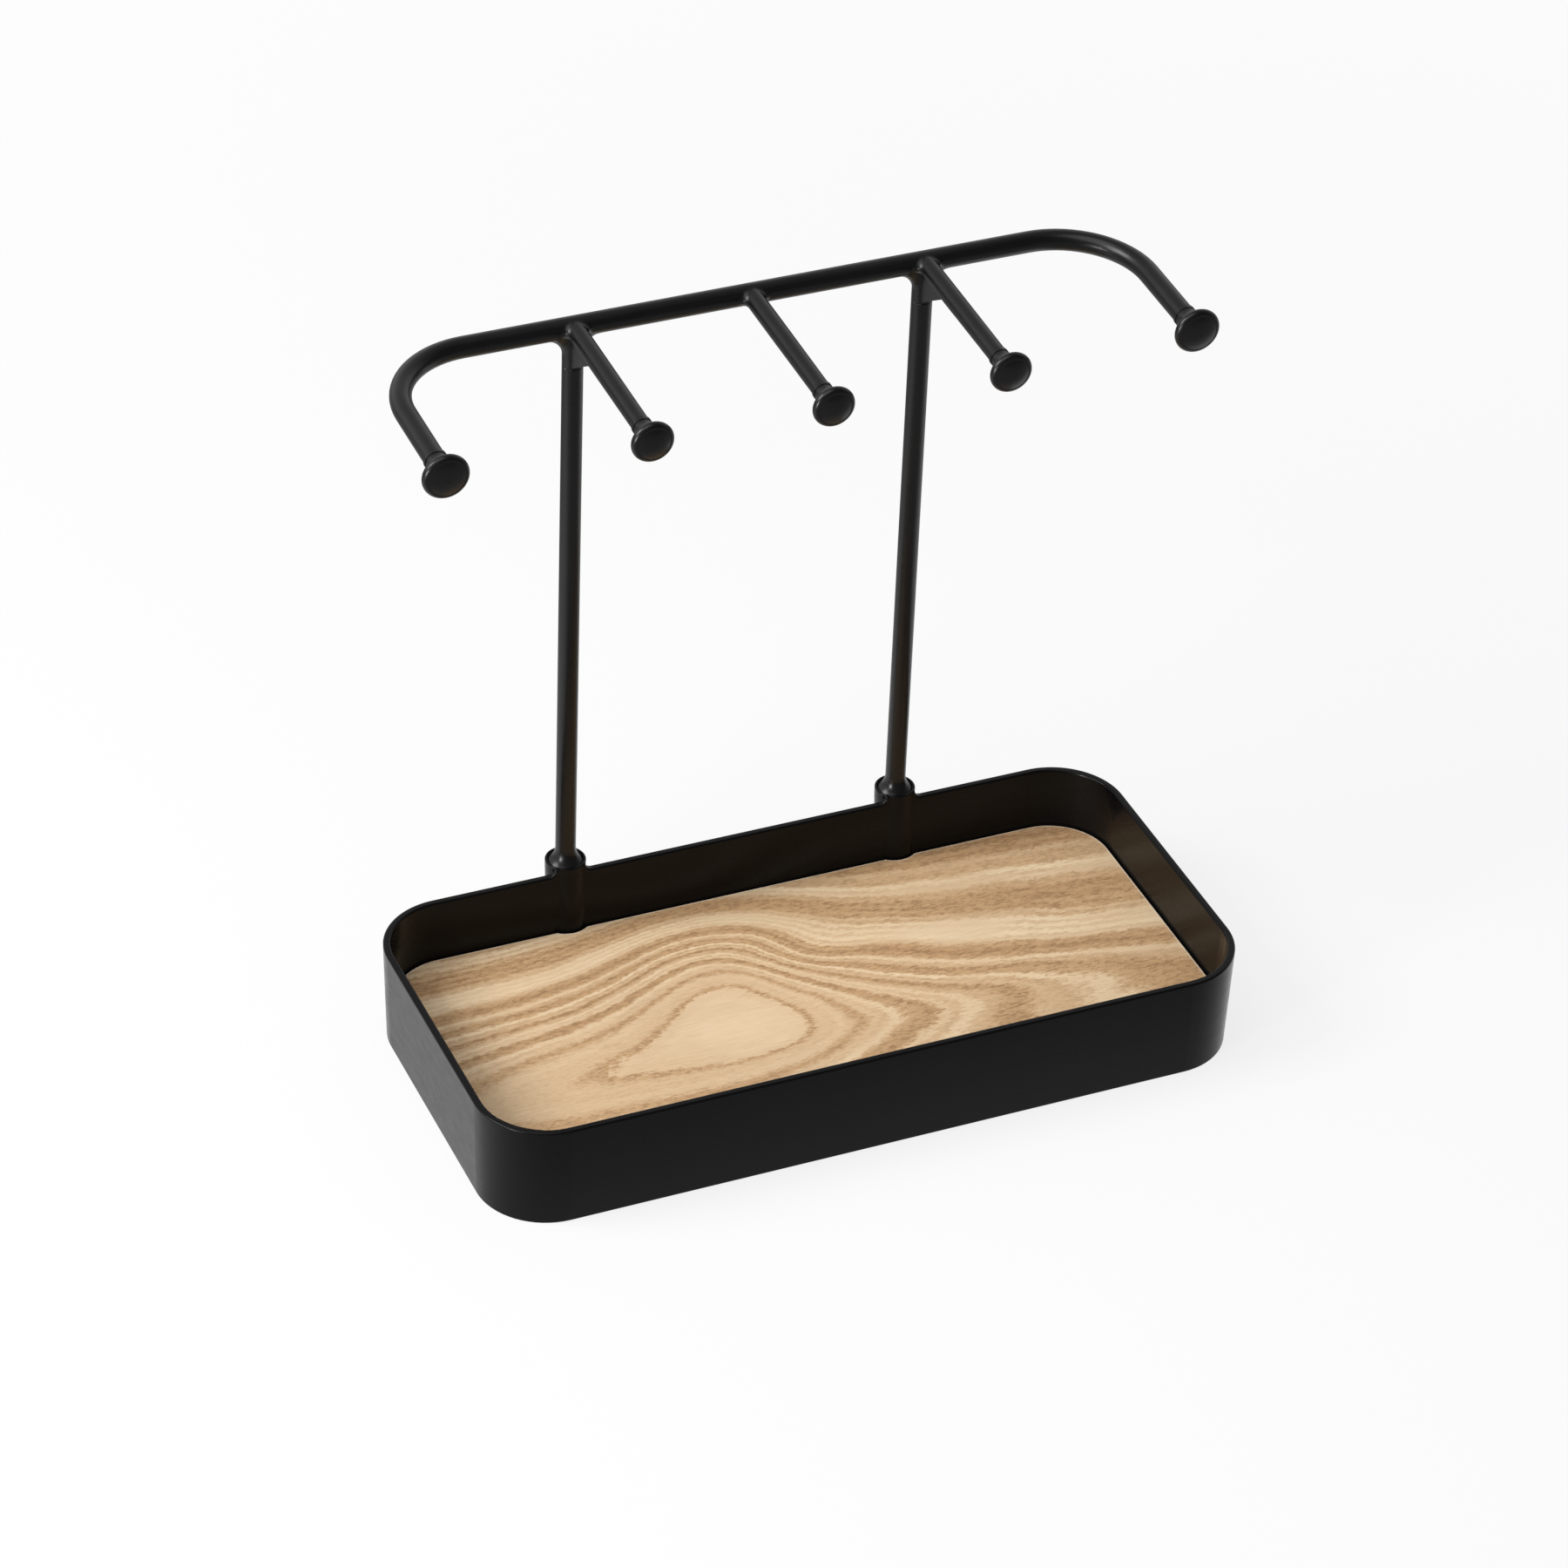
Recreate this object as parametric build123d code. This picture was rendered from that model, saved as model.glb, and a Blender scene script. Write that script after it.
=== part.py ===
from build123d import *
import math
import os

# Jewelry stand: an open tray with a wooden board in it, two posts plugged into
# sockets on its rear wall, and a top rail with five arms that end in knobs.
# Lengths are in millimetres. X runs along the tray, -Y is the front, +Z is up.
# The origin lies on the table, under the middle of the whole footprint.

# Tray: outer size at the rim, then its walls
tray_length = 250.0
tray_depth = 122.0
tray_height = 35.0
corner_radius = 23.0
draft_angle = 1.6
wall = 2.4
floor_thickness = 2.0
rim_round = 0.6
foot_round = 0.5

# Board
board_top = 14.2
board_thickness = 5.0
board_clearance = 0.5
board_bevel = 0.5

# Sockets on the rear wall: the setback runs from the wall's outer face at the rim to a post's axis
post_spacing = 113.0
post_setback = 2.9
socket_radius = 6.5
socket_rise = 2.6
socket_spread = 1.5
ring_round = 0.35
sweep_start = 4.9
mouth_radius = 5.75
mouth_depth = 1.4
bore_radius = 4.0
bore_floor = 3.0

# Posts: the step is from the rail's radius to the posts'
post_step = 0.06
foot_gap = 0.25
foot_edge = 1.0
foot_height = 5.0
plug_clearance = 0.05
plug_gap = 1.0
plug_chamfer = 0.8
tenon_radius = 2.0
tenon_length = 7.0
edge_bevel = 0.3

# Top rail: a root is the stretch of bar beside a crossing, and the web reaches along the arm's axis
rail_height = 231.2
rail_radius = 3.3
rail_half_length = 118.5
bend_radius = 27.5
arm_droop = 2.4
arm_step = 0.38
arm_taper = 0.07
arm_blend = 2.5
stub_length = 13.0
stub_blend = 6.0
tenon_gap = 0.5
root_length = 13.0
web_thickness = 3.4
web_reach = 21.2
web_root = 2.3
web_lift = 0.2
web_blend = 0.8

# Knobs: a reach runs along an arm from the rail's axis to the widest ring of its knob
side_knob_reach = 60.5
arm_knob_reach = 63.1
side_knob_radius = 7.2
arm_knob_radius = 6.6
knob_length = 8.8
lip_length = 1.3
lip_step = 0.3
groove_length = 0.9
groove_step = 0.2
neck_length = 0.5
knob_edge = 1.6
knob_crown = 1.2
peg_radius = 1.6
peg_length = 6.0
peg_clearance = 0.03
peg_gap = 0.5

# Places worked out from the sizes above
tray_y = -(post_setback + socket_radius) / 2
post_y = tray_y + tray_depth / 2 + post_setback
post_x = post_spacing / 2
floor_top = board_top - board_thickness
socket_top = tray_height + socket_rise
seat_height = socket_top - mouth_depth
stub_end = rail_height - stub_length
post_radius = rail_radius - post_step
arm_root_radius = rail_radius - arm_step
arm_tip_radius = arm_root_radius - arm_taper
bottom_inset = tray_height * math.tan(math.radians(draft_angle))
fall = math.radians(arm_droop)
arm_plane = Plane((0, 0, 0), x_dir=(1, 0, 0), z_dir=(0, -math.cos(fall), -math.sin(fall)))
ON_BASE = (Align.CENTER, Align.CENTER, Align.MIN)


def outline(inset, height):
    """The tray's rounded plan at a height, moved inwards by an inset and by the draft."""
    inset = inset + bottom_inset * (1 - height / tray_height)
    plan = RectangleRounded(tray_length - 2 * inset, tray_depth - 2 * inset, corner_radius - inset)
    return Pos(0, tray_y, height) * plan


def drafted_block(inset, bottom, top):
    """A block between two heights whose sides follow the drafted wall."""
    return loft([outline(inset, bottom).face(), outline(inset, top).face()], ruled=True)


def turned(profile_lines):
    """A solid turned about its own Z axis from lines drawn as (radius, height)."""
    return revolve(Plane.XZ * make_face(Curve() + profile_lines), Axis.Z)


def socket_sweep(x):
    """The part of the wall that climbs from the rim to a socket, with a concave sweep on each side."""
    reach = sweep_start + socket_rise
    base = tray_height - wall
    crest = [
        Line((-sweep_start, socket_top), (sweep_start, socket_top)),
        CenterArc((reach, socket_top), socket_rise, 180, 90),
        CenterArc((-reach, socket_top), socket_rise, 270, 90),
        Polyline((reach, tray_height), (reach, base), (-reach, base), (-reach, tray_height)),
    ]
    profile = Plane.XZ * make_face(Curve() + crest)
    wall_band = drafted_block(0, base, socket_top) - drafted_block(wall, 0, 2 * socket_top)
    return extrude(Pos(x, post_y, 0) * profile, amount=tray_depth / 4, both=True) & wall_band


def socket_column(x):
    """A column down the rear wall: it widens downwards inside the tray and narrows downwards outside."""
    halves = []
    for foot in (socket_radius + socket_spread, socket_radius - bottom_inset):
        side = Polyline((0, 0), (foot, 0), (socket_radius, tray_height), (0, tray_height), (0, 0))
        halves.append(turned([side]))
    middle_of_wall = -post_setback - wall / 2
    rear = Pos(0, middle_of_wall, 0) * Box(
        4 * socket_radius, 4 * socket_radius, 4 * tray_height, align=(Align.CENTER, Align.MIN, Align.CENTER)
    )
    ring = Pos(0, 0, tray_height) * Cylinder(socket_radius, socket_rise, align=ON_BASE)
    ring = fillet(ring.edges().group_by(Axis.Z)[-1], ring_round)
    return Pos(x, post_y, 0) * ((halves[0] - rear) + (halves[1] & rear) + ring)


def socket_bore(x):
    """The blind bore for a post's plug and the wider mouth that takes the post's foot."""
    bore = Pos(0, 0, bore_floor) * Cylinder(bore_radius, socket_top, align=ON_BASE)
    mouth = Pos(0, 0, seat_height) * Cylinder(mouth_radius, socket_top, align=ON_BASE)
    return Pos(x, post_y, 0) * (bore + mouth)


def make_tray():
    """The tray: a drafted shell with a raised floor, an open underside and two sockets."""
    shell = drafted_block(0, 0, tray_height) - drafted_block(wall, floor_top, 2 * tray_height)
    shell -= drafted_block(wall, -floor_top, floor_top - floor_thickness)
    foot = shell.faces().sort_by(Axis.Z)[0].outer_wire().edges()
    shell = fillet(foot, foot_round)
    for x in (-post_x, post_x):
        shell += socket_sweep(x)
    rim = shell.edges().filter_by(lambda edge: edge.center().Z > tray_height - rim_round)
    shell = fillet(rim.filter_by(lambda edge: edge.length > wall), rim_round)
    for x in (-post_x, post_x):
        shell += socket_column(x)
    for x in (-post_x, post_x):
        shell -= socket_bore(x)
    return shell


def make_board():
    """The wooden board: it fills the tray's floor and is notched round the socket columns."""
    board = drafted_block(wall + board_clearance, floor_top, board_top)
    column_radius = socket_radius + socket_spread * (1 - floor_top / tray_height)
    for x in (-post_x, post_x):
        board -= Pos(x, post_y, 0) * Cylinder(column_radius + board_clearance, 2 * board_top, align=ON_BASE)
    return chamfer(board.edges().group_by(Axis.Z)[-1], board_bevel)


def make_post(x):
    """A round post: a plug for the tray's socket, a flared foot, the rod and a tenon for the rail."""
    plug_radius = bore_radius - plug_clearance
    plug_end = bore_floor + plug_gap
    foot_radius = mouth_radius - foot_gap
    foot_top = seat_height + foot_edge
    rod_start = foot_top + foot_height
    tenon_end = stub_end + tenon_length
    return Pos(x, post_y, 0) * turned([
        Polyline(
            (0, plug_end),
            (plug_radius - plug_chamfer, plug_end),
            (plug_radius, plug_end + plug_chamfer),
            (plug_radius, seat_height),
            (foot_radius, seat_height),
            (foot_radius, foot_top),
        ),
        TangentArc((post_radius, rod_start), (foot_radius, foot_top), tangent=(0, -1)),
        Polyline(
            (post_radius, rod_start),
            (post_radius, stub_end - edge_bevel),
            (post_radius - edge_bevel, stub_end),
            (tenon_radius, stub_end),
            (tenon_radius, tenon_end - edge_bevel),
            (tenon_radius - edge_bevel, tenon_end),
            (0, tenon_end),
            (0, plug_end),
        ),
    ])


def along_arm(x):
    """The place on the rail's axis whose +Z points along an arm, which falls slightly to the front."""
    return Pos(x, post_y, rail_height) * arm_plane.location


def bar_piece(start, end):
    """A straight piece of the bar between two places along X."""
    return Pos(start, 0, 0) * Rot(0, 90, 0) * Cylinder(rail_radius, end - start, align=ON_BASE)


def bar_end():
    """The bar's right end: a straight piece, a quarter bend forwards and the arm that it runs into."""
    start = post_x + root_length
    run = rail_half_length - bend_radius
    tip = side_knob_reach - knob_length
    path = Curve() + [
        Line((start, 0), (run, 0)),
        CenterArc((run, bend_radius), bend_radius, 270, 90),
        Line((rail_half_length, bend_radius), (rail_half_length, tip)),
    ]
    section = Plane((start, 0, 0), z_dir=(1, 0, 0)) * Circle(rail_radius)
    return arm_plane * (Rot(90, 0, 0) * sweep(section, path))


def arm_root():
    """The straight part of an arm from the rail's axis on."""
    return arm_plane.location * Cylinder(arm_root_radius, 2 * root_length, align=ON_BASE)


def arm_tip():
    """The rest of an arm, which tapers slightly to its knob."""
    length = arm_knob_reach - knob_length - 2 * root_length
    tip = Cone(arm_root_radius, arm_tip_radius, length, align=ON_BASE)
    return arm_plane.location * (Pos(0, 0, 2 * root_length) * tip)


def tee(branch, radius):
    """A branch on a short piece of the bar, with a fillet all round where they meet."""
    bar = bar_piece(-root_length, root_length)
    return fillet(new_edges(bar, branch, combined=bar + branch), radius)


def webbed_root():
    """An arm's root with the gusset that ties its underside to the stub below, blended into the arm."""
    root = arm_root()
    low = web_lift - stub_length
    tip = -web_reach * math.tan(fall)
    corners = Polyline((0, 0), (0, low), (-web_root, low), (-web_reach, tip), (0, 0))
    web = extrude(Plane.YZ * make_face(corners), amount=web_thickness / 2, both=True)
    along = new_edges(root, web, combined=root + web)
    return fillet(along.filter_by(lambda edge: edge.length > web_thickness + web_blend), web_blend)


def make_rail():
    """The top rail in one moulding: the bent bar, three arms, two stubs with gussets, and the pegs."""
    arm_tee = tee(arm_root(), arm_blend)
    low_end = Pos(0, 0, -stub_length)
    stub = low_end * Cylinder(post_radius, stub_length, align=ON_BASE)
    socket = low_end * Cylinder(tenon_radius + plug_clearance, tenon_length + tenon_gap, align=ON_BASE)
    crossing = tee(stub, stub_blend) + webbed_root() + arm_tee - socket + arm_tip()
    right = bar_piece(root_length, post_x - root_length) + Pos(post_x, 0, 0) * crossing + bar_end()
    rail = Pos(0, post_y, rail_height) * (arm_tee + arm_tip() + right + mirror(right, about=Plane.YZ))
    for x, reach, arm_radius, knob_radius in knob_places.values():
        peg_root = reach - knob_length - peg_length
        rail += along_arm(x) * (Pos(0, 0, peg_root) * Cylinder(peg_radius, 2 * peg_length, align=ON_BASE))
    return rail


def make_knob(x, reach, arm_radius, knob_radius):
    """A trumpet-shaped knob: a lip and groove at the arm, a concave flare, a round rim and a domed face."""
    lip = arm_radius + lip_step
    groove = lip - groove_step
    neck_start = lip_length + groove_length
    flare_start = neck_start + neck_length
    rim = knob_radius - knob_edge
    face = knob_length + knob_edge
    side = [
        Polyline(
            (0, 0),
            (lip, 0),
            (lip, lip_length),
            (groove, lip_length),
            (groove, neck_start),
            (lip, neck_start),
            (lip, flare_start),
        ),
        TangentArc((lip, flare_start), (rim, knob_length - knob_edge), tangent=(0, 1)),
        ThreePointArc((rim, knob_length - knob_edge), (knob_radius, knob_length), (rim, face)),
        TangentArc((0, face + knob_crown), (rim, face), tangent=(1, 0)),
        Line((0, face + knob_crown), (0, 0)),
    ]
    bore = Cylinder(peg_radius + peg_clearance, peg_length + peg_gap, align=ON_BASE)
    return along_arm(x) * (Pos(0, 0, reach - knob_length) * (turned(side) - bore))


knob_places = {
    "left_end_knob": (-rail_half_length, side_knob_reach, rail_radius, side_knob_radius),
    "left_knob": (-post_x, arm_knob_reach, arm_tip_radius, arm_knob_radius),
    "middle_knob": (0, arm_knob_reach, arm_tip_radius, arm_knob_radius),
    "right_knob": (post_x, arm_knob_reach, arm_tip_radius, arm_knob_radius),
    "right_end_knob": (rail_half_length, side_knob_reach, rail_radius, side_knob_radius),
}

pieces = {
    "tray": make_tray(),
    "board": make_board(),
    "left_post": make_post(-post_x),
    "right_post": make_post(post_x),
    "top_rail": make_rail(),
}
for name, place in knob_places.items():
    pieces[name] = make_knob(*place)

os.makedirs("parts", exist_ok=True)
for name, piece in pieces.items():
    export_step(piece, f"parts/{name}.step")
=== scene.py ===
import math

import bpy
from mathutils import Matrix, Vector

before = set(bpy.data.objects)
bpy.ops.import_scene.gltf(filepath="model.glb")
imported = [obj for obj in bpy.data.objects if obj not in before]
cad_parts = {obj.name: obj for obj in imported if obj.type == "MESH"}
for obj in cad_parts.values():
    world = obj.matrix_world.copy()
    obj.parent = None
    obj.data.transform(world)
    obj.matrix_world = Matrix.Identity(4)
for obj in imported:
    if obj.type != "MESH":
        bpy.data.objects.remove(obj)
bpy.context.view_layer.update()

# Camera, solved from the photograph: place in metres, angles in degrees, lens and sensor in millimetres
CAMERA_PLACE = (-0.5917, -1.2921, 1.1020)
CAMERA_YAW = -24.27
CAMERA_PITCH = -35.42
CAMERA_ROLL = 2.37
CAMERA_LENS = 131.8
CAMERA_SENSOR = 36.0
CAMERA_CLIP_END = 50

# Square soft boxes: name, place, aim and side in metres, power in watts
LAMPS = (
    ("key", (-1.55, 0.30, 1.35), (0, 0, 0.08), 0.9, 29),
    ("fill", (-0.6, -0.2, 1.8), (0, 0, 0.12), 1.4, 12),
    ("window", (-1.35, -0.62, 0.25), (0, 0, 0.2), 0.25, 13),
)

# Floor and world. Each grade is a range and what it turns into: from low, from high, to low, to high.
FLOOR_HALF = 6.0
FLOOR_SHADE = 0.82
FLOOR_ROUGHNESS = 0.9
FLOOR_GLOSS_BEFORE = (-0.12, -0.04, 0.36, 1.0)
FLOOR_GLOSS_BEYOND = (0.10, 0.28, 1.0, 0.35)
FLOOR_WHITENED = (0.35, 1.1, 0.8, 1.0)
WORLD_GLOSS_BEHIND = (-0.35, 0.35, 0.15, 0.85)
WORLD_GLOSS_ABOVE = (0.35, 0.8, 1.0, 0.4)
WORLD_LIGHT = 0.32

# Black plastics, in linear light: the tray's is a little smoother and less glossy than the frame's
TRAY_BLACK = (0.0022, 0.0022, 0.0024)
TRAY_WORN = (0.0032, 0.0032, 0.0034)
TRAY_ROUGHNESS = 0.25
TRAY_GLOSS = 0.15
FRAME_BLACK = (0.0030, 0.0030, 0.0032)
FRAME_WORN = (0.005, 0.005, 0.0052)
FRAME_ROUGHNESS = 0.30
FRAME_GLOSS = 0.36
PLASTIC_IOR = 1.5

# Plastic's patterns: noise scales per metre, how much lighter the patches are, depths in metres, how far
# the roughness strays, and the polished edges' width in metres and share
PATCH_SCALE = 38.0
PATCH_LIFT = 1.25
SKIN_SCALE = 2600.0
SKIN_STRENGTH = 0.08
SKIN_DEPTH = 0.00003
FLOW_SCALE = 120.0
FLOW_STRETCH = (1.0, 1.0, 3.0)
FLOW_STRENGTH = 0.10
FLOW_DEPTH = 0.00025
FLOW_SMOOTHER = 0.03
FLOW_ROUGHER = 0.05
EDGE_WIDTH = 0.0009
EDGE_POLISH = 0.08

# Growth field of the board, in ring widths: its value at the middle, its slopes per mm, how far it wavers
# and how ragged it is, and the hills round which the rings swerve (height, place x and y, half-widths x
# and y, lengths in mm)
GROWTH = 6.22
GROWTH_SLOPE_X = 0.00413
GROWTH_SLOPE_Y = 0.06454
GROWTH_WAVER = 0.22
GROWTH_RAGGED = 0.13
HILLS = (
    (-4.39, -74.9, -7.2, 111.0, 38.7),
    (-3.90, -19.1, 16.0, 35.4, 34.0),
    (-1.26, 27.1, -22.3, 114.3, 15.7),
    (1.36, 6.6, 15.8, 17.6, 13.1),
)

# Darkness of the wood across its rings: growth value, darkness
RINGS = (
    (-0.9, 0.12), (-0.35, 0.18), (-0.12, 0.20), (-0.02, 0.62), (0.12, 0.30), (0.75, 0.22), (0.95, 0.60),
    (1.15, 0.34), (1.65, 0.16), (1.85, 0.62), (2.1, 0.66), (2.3, 0.20), (2.75, 0.24), (2.95, 0.74),
    (3.2, 0.44), (3.6, 0.12), (3.85, 0.66), (4.15, 0.60), (4.45, 0.12), (4.75, 0.50), (5.0, 0.86),
    (5.3, 0.52), (5.75, 0.08), (6.5, 0.14), (7.1, 0.60), (7.7, 0.66), (8.1, 0.30), (8.5, 0.10),
    (8.85, 0.55), (9.05, 0.30), (9.4, 0.66),
)
RINGS_LOW = -1.2  # growth values at the ramp's two ends
RINGS_HIGH = 10.0

# Fine lines between the rings: how close they lie, how dark they are from patch to patch, and the growth
# values between which they come in, from their share at the eye
LINE_RATE = 19.0
LINE_FAINTEST = 0.02
LINE_DARKEST = 0.17
LINES_BEGIN = 0.2
LINES_FULL = 2.6
LINES_AT_EYE = 0.15

# Wood's patterns, drawn out along the grain: noise scales per metre along x, y and z
WAVER_SCALES = (18.0, 42.0, 42.0)
RAGGED_SCALES = (420.0, 1100.0, 1100.0)
PATCHY_SCALES = (22.0, 60.0, 60.0)
PORE_SCALES = (430.0, 1300.0, 1300.0)
FIBRE_SCALES = (90.0, 1900.0, 1900.0)
CLOUD_SCALES = (16.0, 45.0, 45.0)

# Wood's colours, in linear light: from pale late wood to dark early wood, then what is laid over them, and
# how much of it at most
WOOD_TONES = (
    (0.0, (0.95, 0.76, 0.51)),
    (0.25, (0.80, 0.58, 0.36)),
    (0.55, (0.60, 0.37, 0.19)),
    (1.0, (0.40, 0.22, 0.10)),
)
CLOUD_TONE = (0.72, 0.49, 0.27)
CLOUD_SHARE = 0.3
PORE_TONE = (0.26, 0.135, 0.06)
PORE_SHARE = 0.62
FIBRE_TONE = (0.48, 0.295, 0.145)
FIBRE_SHARE = 0.26
CUT_TONE = (0.90, 0.75, 0.54)
CUT_SHARE = 0.5
RIM_TONE = (1.0, 0.91, 0.76)
RIM_SHARE = 0.85
RIM_WIDTH = 0.0014

# Wood's finish: its roughness between the pores and in them, its gloss, and its relief in metres
WOOD_ROUGHNESS = 0.46
PORE_ROUGHNESS = 0.72
WOOD_GLOSS = 0.35
FIBRE_HEIGHT = 0.25
GRAIN_STRENGTH = 0.35
GRAIN_DEPTH = 0.00008
MM_PER_M = 1000.0


class Nodes:
    """Adds shader nodes to one node tree and links them, in the order in which they are worked out."""

    def __init__(self, tree):
        self.tree = tree

    def add(self, kind):
        return self.tree.nodes.new(kind)

    def put(self, value, socket):
        """Links an output to a socket, or sets the socket to a constant."""
        if isinstance(value, bpy.types.NodeSocket):
            self.tree.links.new(value, socket)
        else:
            socket.default_value = value

    def fill(self, node, *values):
        """Puts values into a node's first sockets and gives its outputs."""
        for socket, value in zip(node.inputs, values):
            self.put(value, socket)
        return node.outputs

    def math(self, operation, *values):
        node = self.add("ShaderNodeMath")
        node.operation = operation
        return self.fill(node, *values)[0]

    def vector_math(self, operation, *values):
        node = self.add("ShaderNodeVectorMath")
        node.operation = operation
        return self.fill(node, *values)

    def place(self):
        """The object's own coordinates, in metres."""
        return self.add("ShaderNodeTexCoord").outputs["Object"]

    def scaled(self, scales):
        """The object's own coordinates, multiplied along each axis."""
        return self.vector_math("MULTIPLY", self.place(), scales)["Vector"]

    def split(self, vector):
        """A vector's x, y and z."""
        return self.fill(self.add("ShaderNodeSeparateXYZ"), vector)

    def noise(self, place, scale=1.0, detail=2.0, roughness=0.5, distortion=0.0):
        node = self.add("ShaderNodeTexNoise")
        self.put(place, node.inputs["Vector"])
        node.inputs["Scale"].default_value = scale
        node.inputs["Detail"].default_value = detail
        node.inputs["Roughness"].default_value = roughness
        node.inputs["Distortion"].default_value = distortion
        return node.outputs["Fac"]

    def spread(self, value, from_low, from_high, to_low=0.0, to_high=1.0):
        """Maps one range on another, held at its ends."""
        return self.fill(self.add("ShaderNodeMapRange"), value, from_low, from_high, to_low, to_high)[0]

    def ramp(self, value, stops):
        """A colour ramp; a stop is a place and a colour, or a place and a grey."""
        node = self.add("ShaderNodeValToRGB")
        self.put(value, node.inputs[0])
        elements = node.color_ramp.elements
        for place, _ in stops[2:]:
            elements.new(place)
        for element, (place, _) in zip(elements, stops):
            element.position = place
        for element, (_, colour) in zip(elements, stops):
            element.color = (*colour, 1) if isinstance(colour, tuple) else (colour, colour, colour, 1)
        return node.outputs["Color"]

    def mix(self, amount, first, second):
        """Mixes two colours."""
        node = self.add("ShaderNodeMix")
        node.data_type = "RGBA"
        self.put(amount, node.inputs[0])
        colours = [socket for socket in node.inputs if socket.type == "RGBA"]
        for socket, value in zip(colours, (first, second)):
            self.put((*value, 1) if isinstance(value, tuple) else value, socket)
        return [socket for socket in node.outputs if socket.type == "RGBA"][0]

    def bump(self, height, strength, distance, below=None):
        """A relief that is as deep as the distance, in metres, over the one below it."""
        node = self.add("ShaderNodeBump")
        node.inputs["Strength"].default_value = strength
        node.inputs["Distance"].default_value = distance
        self.put(height, node.inputs["Height"])
        if below is not None:
            self.put(below, node.inputs["Normal"])
        return node.outputs["Normal"]

    def edges(self, radius):
        """About 1 along sharp edges and 0 on flat and gently curved faces."""
        bevel = self.add("ShaderNodeBevel")
        bevel.samples = 4
        bevel.inputs["Radius"].default_value = radius
        normal = self.add("ShaderNodeNewGeometry").outputs["Normal"]
        return self.spread(self.vector_math("DOT_PRODUCT", bevel.outputs[0], normal)["Value"], 0.995, 0.9)


def new_material(name):
    """A material with its Principled shader, and the nodes to fill it with."""
    material = bpy.data.materials.new(name)
    material.use_nodes = True
    return material, material.node_tree.nodes["Principled BSDF"], Nodes(material.node_tree)


def plastic(name, colour, worn, roughness, gloss):
    """Black moulded plastic with a satin, finely eroded skin that is a little polished along its edges."""
    material, shader, nodes = new_material(name)
    patches = nodes.noise(nodes.place(), PATCH_SCALE, detail=3.0)
    skin = nodes.noise(nodes.place(), SKIN_SCALE, roughness=0.6)
    flow = nodes.noise(nodes.scaled(FLOW_STRETCH), FLOW_SCALE, detail=4.0, roughness=0.6, distortion=0.4)
    edge = nodes.math("MULTIPLY", nodes.edges(EDGE_WIDTH), nodes.spread(patches, 0.35, 0.65, 0.35, 1.0))
    lifted = tuple(PATCH_LIFT * part for part in colour)
    tone = nodes.mix(nodes.spread(patches, 0.3, 0.7), colour, lifted)
    tone = nodes.mix(edge, tone, worn)
    rough = nodes.spread(flow, 0.3, 0.7, roughness - FLOW_SMOOTHER, roughness + FLOW_ROUGHER)
    rough = nodes.math("SUBTRACT", rough, nodes.math("MULTIPLY", edge, EDGE_POLISH))
    relief = nodes.bump(skin, SKIN_STRENGTH, SKIN_DEPTH)
    relief = nodes.bump(flow, FLOW_STRENGTH, FLOW_DEPTH, relief)
    nodes.put(tone, shader.inputs["Base Color"])
    nodes.put(rough, shader.inputs["Roughness"])
    nodes.put(relief, shader.inputs["Normal"])
    shader.inputs["IOR"].default_value = PLASTIC_IOR
    shader.inputs["Specular IOR Level"].default_value = gloss
    return material


def growth(nodes):
    """The growth field of the board: a slope and a few hills, wavering a little as real rings do."""
    x, y, _ = nodes.split(nodes.scaled((MM_PER_M, MM_PER_M, MM_PER_M)))
    field = nodes.math("MULTIPLY_ADD", x, GROWTH_SLOPE_X, GROWTH)
    field = nodes.math("MULTIPLY_ADD", y, GROWTH_SLOPE_Y, field)
    for height, middle_x, middle_y, half_x, half_y in HILLS:
        across = nodes.math("DIVIDE", nodes.math("SUBTRACT", x, middle_x), half_x)
        along = nodes.math("DIVIDE", nodes.math("SUBTRACT", y, middle_y), half_y)
        reach = nodes.math("MULTIPLY_ADD", across, across, nodes.math("MULTIPLY", along, along))
        hill = nodes.math("EXPONENT", nodes.math("MULTIPLY", reach, -1.0))
        field = nodes.math("MULTIPLY_ADD", hill, height, field)
    waver = nodes.noise(nodes.scaled(WAVER_SCALES), detail=3.0, roughness=0.55)
    ragged = nodes.noise(nodes.scaled(RAGGED_SCALES), roughness=0.6)
    field = nodes.math("ADD", field, nodes.spread(waver, 0.2, 0.8, -GROWTH_WAVER, GROWTH_WAVER))
    return nodes.math("ADD", field, nodes.spread(ragged, 0.2, 0.8, -GROWTH_RAGGED, GROWTH_RAGGED))


def ring_darkness(nodes):
    """How dark the wood is: its rings, and patchy fine lines that fade out towards the eye."""
    field = growth(nodes)
    stops = [((level - RINGS_LOW) / (RINGS_HIGH - RINGS_LOW), dark) for level, dark in RINGS]
    rings = nodes.ramp(nodes.spread(field, RINGS_LOW, RINGS_HIGH), stops)
    lines = nodes.math("SINE", nodes.math("MULTIPLY", field, LINE_RATE))
    patchy = nodes.noise(nodes.scaled(PATCHY_SCALES))
    lines = nodes.math("MULTIPLY", lines, nodes.spread(patchy, 0.35, 0.65, LINE_FAINTEST, LINE_DARKEST))
    lines = nodes.math("MULTIPLY", lines, nodes.spread(field, LINES_BEGIN, LINES_FULL, LINES_AT_EYE, 1.0))
    return nodes.math("ADD", rings, lines)


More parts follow.
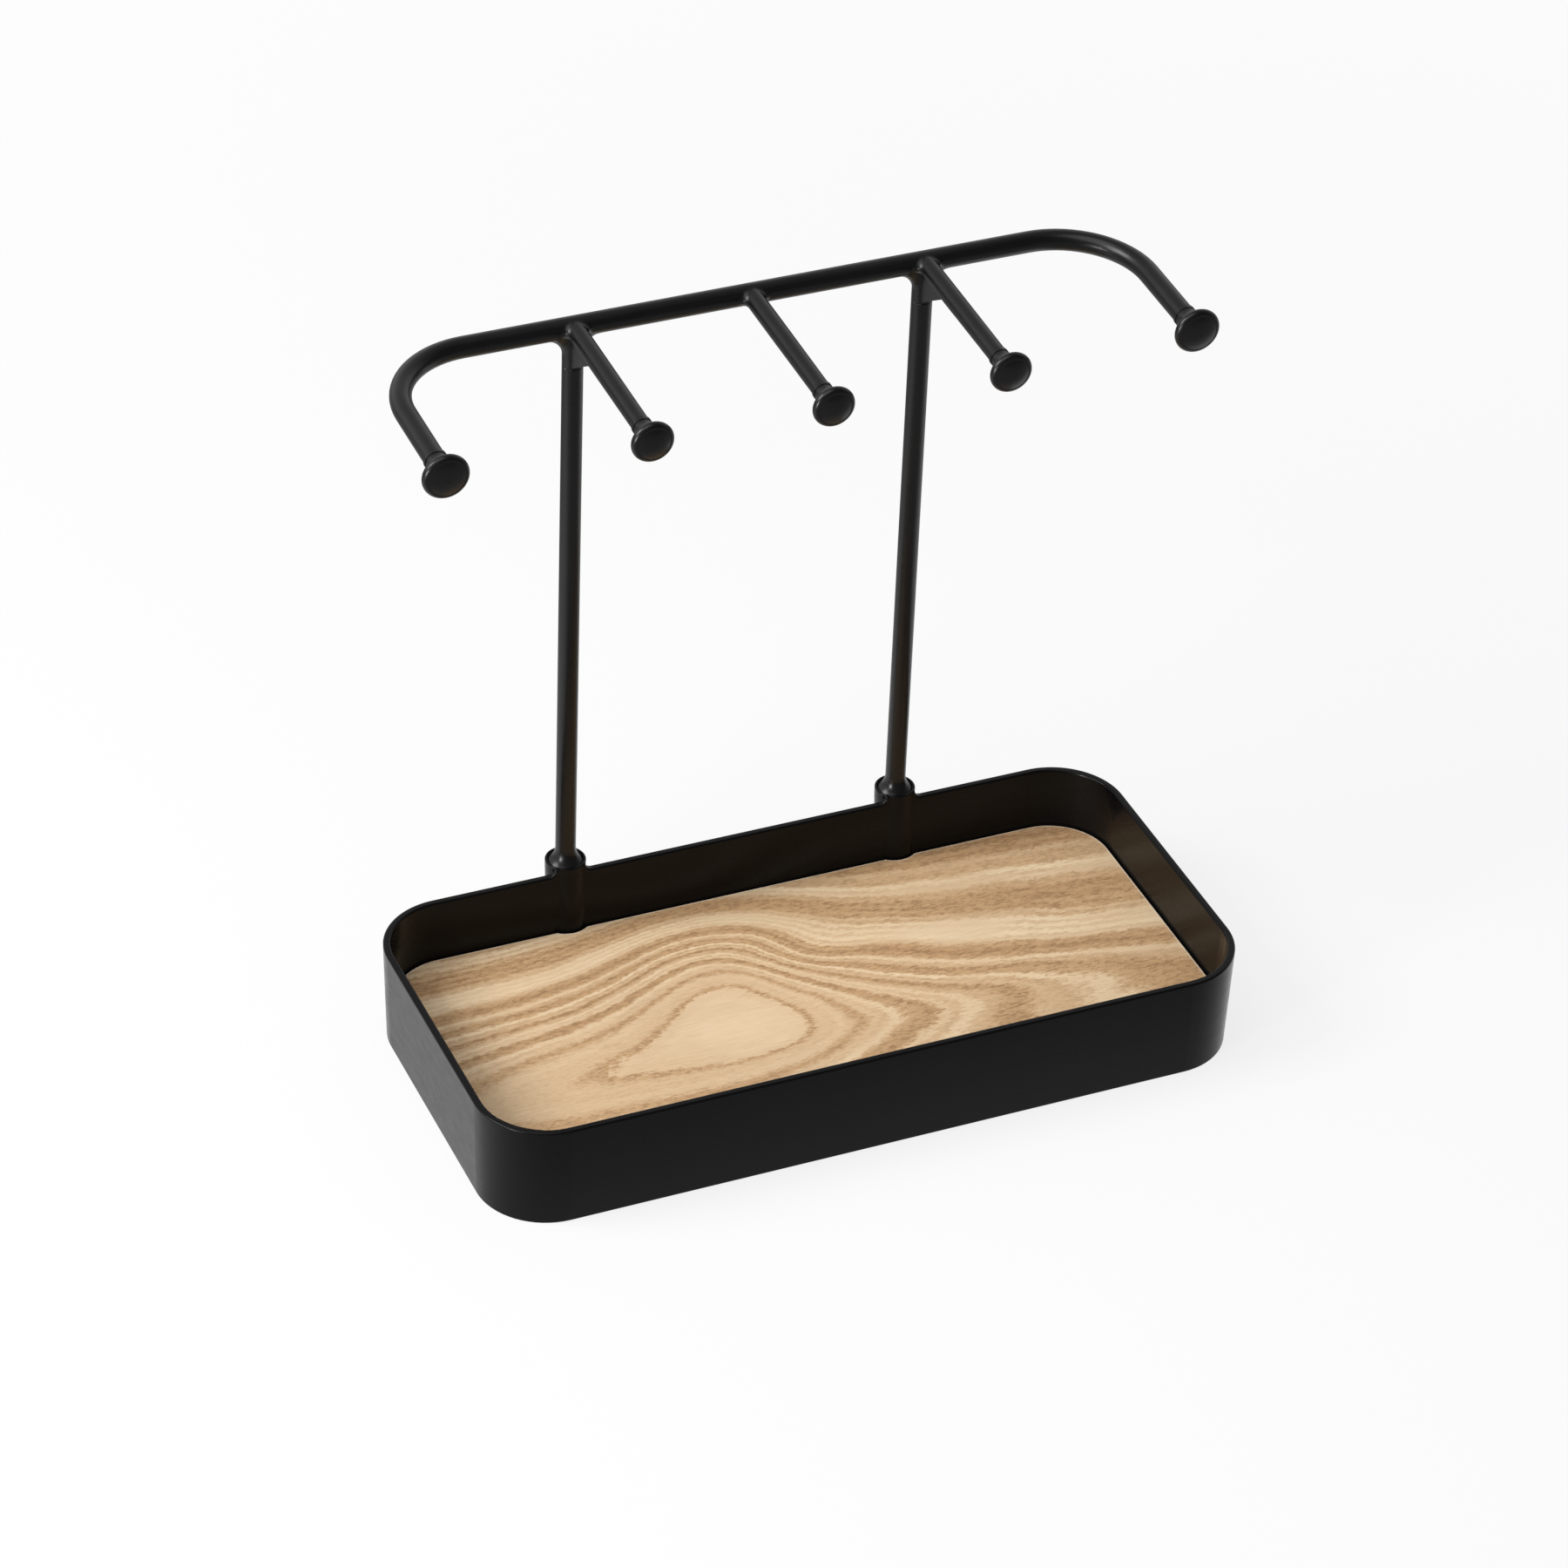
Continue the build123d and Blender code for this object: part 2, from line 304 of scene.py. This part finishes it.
def wood(name):
    """Pale ash: arched rings with porous dark early wood, fine fibres, and paler cut edges."""
    material, shader, nodes = new_material(name)
    rings = ring_darkness(nodes)
    pores = nodes.spread(nodes.noise(nodes.scaled(PORE_SCALES), roughness=0.65), 0.47, 0.60)
    porous = nodes.math("MULTIPLY", pores, nodes.spread(rings, 0.15, 0.7))
    fibres = nodes.noise(nodes.scaled(FIBRE_SCALES), roughness=0.6)
    clouds = nodes.noise(nodes.scaled(CLOUD_SCALES))
    tone = nodes.ramp(rings, WOOD_TONES)
    tone = nodes.mix(nodes.spread(clouds, 0.35, 0.65, 0.0, CLOUD_SHARE), tone, CLOUD_TONE)
    tone = nodes.mix(nodes.math("MULTIPLY", porous, PORE_SHARE), tone, PORE_TONE)
    tone = nodes.mix(nodes.spread(fibres, 0.3, 0.7, 0.0, FIBRE_SHARE), tone, FIBRE_TONE)
    upward = nodes.split(nodes.add("ShaderNodeTexCoord").outputs["Normal"])[2]
    tone = nodes.mix(nodes.spread(upward, 0.97, 0.75, 0.0, CUT_SHARE), tone, CUT_TONE)
    rim = nodes.math("MULTIPLY", nodes.edges(RIM_WIDTH), nodes.spread(upward, 0.4, 0.8, 0.0, RIM_SHARE))
    tone = nodes.mix(rim, tone, RIM_TONE)
    height = nodes.math("SUBTRACT", nodes.math("MULTIPLY", fibres, FIBRE_HEIGHT), porous)
    nodes.put(tone, shader.inputs["Base Color"])
    nodes.put(nodes.spread(porous, 0.0, 1.0, WOOD_ROUGHNESS, PORE_ROUGHNESS), shader.inputs["Roughness"])
    nodes.put(nodes.bump(height, GRAIN_STRENGTH, GRAIN_DEPTH), shader.inputs["Normal"])
    shader.inputs["Specular IOR Level"].default_value = WOOD_GLOSS
    return material


def give(material, *names):
    """Puts a finish on CAD nodes."""
    for name in names:
        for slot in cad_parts[name].material_slots:
            slot.material = material


def make_camera():
    """The photograph's camera: turned about Z, tipped down, then rolled about its own view."""
    data = bpy.data.cameras.new("camera")
    data.lens = CAMERA_LENS
    data.sensor_width = CAMERA_SENSOR
    data.clip_end = CAMERA_CLIP_END
    camera = bpy.data.objects.new("camera", data)
    bpy.context.scene.collection.objects.link(camera)
    turn = Matrix.Rotation(math.radians(CAMERA_YAW), 4, "Z")
    tip = Matrix.Rotation(math.radians(90 + CAMERA_PITCH), 4, "X")
    roll = Matrix.Rotation(math.radians(CAMERA_ROLL), 4, "Z")
    camera.matrix_world = Matrix.Translation(CAMERA_PLACE) @ turn @ tip @ roll
    bpy.context.scene.camera = camera


def ray_shares(nodes):
    """1 for the camera and transmission rays, 1 for the glossy rays, and 1 for the diffuse rays."""
    path = nodes.add("ShaderNodeLightPath").outputs
    seen = nodes.math("MAXIMUM", path["Is Camera Ray"], path["Is Transmission Ray"])
    return seen, path["Is Glossy Ray"], path["Is Diffuse Ray"]


def make_floor():
    """A wide pale floor that keeps the object's soft shadow.

    The rays that see it find it whitened, and wholly white further off. The plastic's gloss finds it white
    beside the object, and dimmer before and behind it.
    """
    mesh = bpy.data.meshes.new("floor")
    half = FLOOR_HALF
    corners = [(-half, -half, 0), (half, -half, 0), (half, half, 0), (-half, half, 0)]
    mesh.from_pydata(corners, [], [(0, 1, 2, 3)])
    floor = bpy.data.objects.new("floor", mesh)
    bpy.context.scene.collection.objects.link(floor)
    material, shader, nodes = new_material("floor")
    shader.inputs["Base Color"].default_value = (FLOOR_SHADE, FLOOR_SHADE, FLOOR_SHADE, 1)
    shader.inputs["Roughness"].default_value = FLOOR_ROUGHNESS
    shader.inputs["Specular IOR Level"].default_value = 0.0
    seen, glossy, _ = ray_shares(nodes)
    place = nodes.place()
    depth = nodes.split(place)[1]
    before = nodes.spread(depth, *FLOOR_GLOSS_BEFORE)
    beyond = nodes.spread(depth, *FLOOR_GLOSS_BEYOND)
    mirrored = nodes.math("MULTIPLY", glossy, nodes.math("MULTIPLY", before, beyond))
    white = nodes.add("ShaderNodeEmission")
    nodes.put(nodes.math("MAXIMUM", seen, mirrored), white.inputs["Strength"])
    distance = nodes.vector_math("LENGTH", place)["Value"]
    whitened = nodes.math("MULTIPLY", seen, nodes.spread(distance, *FLOOR_WHITENED))
    share = nodes.math("MAXIMUM", whitened, glossy)
    surface = nodes.fill(nodes.add("ShaderNodeMixShader"), share, shader.outputs[0], white.outputs[0])[0]
    nodes.put(surface, nodes.tree.nodes["Material Output"].inputs["Surface"])
    mesh.materials.append(material)


def make_world():
    """A soft surround that lights the object a little.

    The rays that see it find it plain white. The plastic's gloss finds it bright behind the object, and
    darker before and above it.
    """
    world = bpy.data.worlds.new("world")
    bpy.context.scene.world = world
    world.use_nodes = True
    nodes = Nodes(world.node_tree)
    _, way_y, way_z = nodes.split(nodes.add("ShaderNodeTexCoord").outputs["Generated"])
    behind = nodes.spread(way_y, *WORLD_GLOSS_BEHIND)
    above = nodes.spread(way_z, *WORLD_GLOSS_ABOVE)
    seen, glossy, diffuse = ray_shares(nodes)
    mirrored = nodes.math("MULTIPLY", glossy, nodes.math("MULTIPLY", behind, above))
    strength = nodes.math("MAXIMUM", seen, mirrored)
    strength = nodes.math("MAXIMUM", strength, nodes.math("MULTIPLY", diffuse, WORLD_LIGHT))
    background = world.node_tree.nodes["Background"]
    background.inputs["Color"].default_value = (1, 1, 1, 1)
    nodes.put(strength, background.inputs["Strength"])


def make_lamp(name, place, aim, side, power):
    """A square soft box, turned towards a point."""
    data = bpy.data.lights.new(name, "AREA")
    data.shape = "SQUARE"
    data.size = side
    data.energy = power
    lamp = bpy.data.objects.new(name, data)
    lamp.location = place
    lamp.rotation_euler = (Vector(aim) - Vector(place)).to_track_quat("-Z", "Y").to_euler()
    bpy.context.scene.collection.objects.link(lamp)


make_camera()
make_floor()
make_world()
for lamp in LAMPS:
    make_lamp(*lamp)

tray_plastic = plastic("tray_plastic", TRAY_BLACK, TRAY_WORN, TRAY_ROUGHNESS, TRAY_GLOSS)
frame_plastic = plastic("frame_plastic", FRAME_BLACK, FRAME_WORN, FRAME_ROUGHNESS, FRAME_GLOSS)
board_wood = wood("board_wood")

give(tray_plastic, "tray")
give(board_wood, "board")
give(frame_plastic, "left_post", "right_post", "top_rail")
give(frame_plastic, "left_end_knob", "left_knob", "middle_knob", "right_knob", "right_end_knob")

bpy.context.scene.view_settings.view_transform = "Standard"
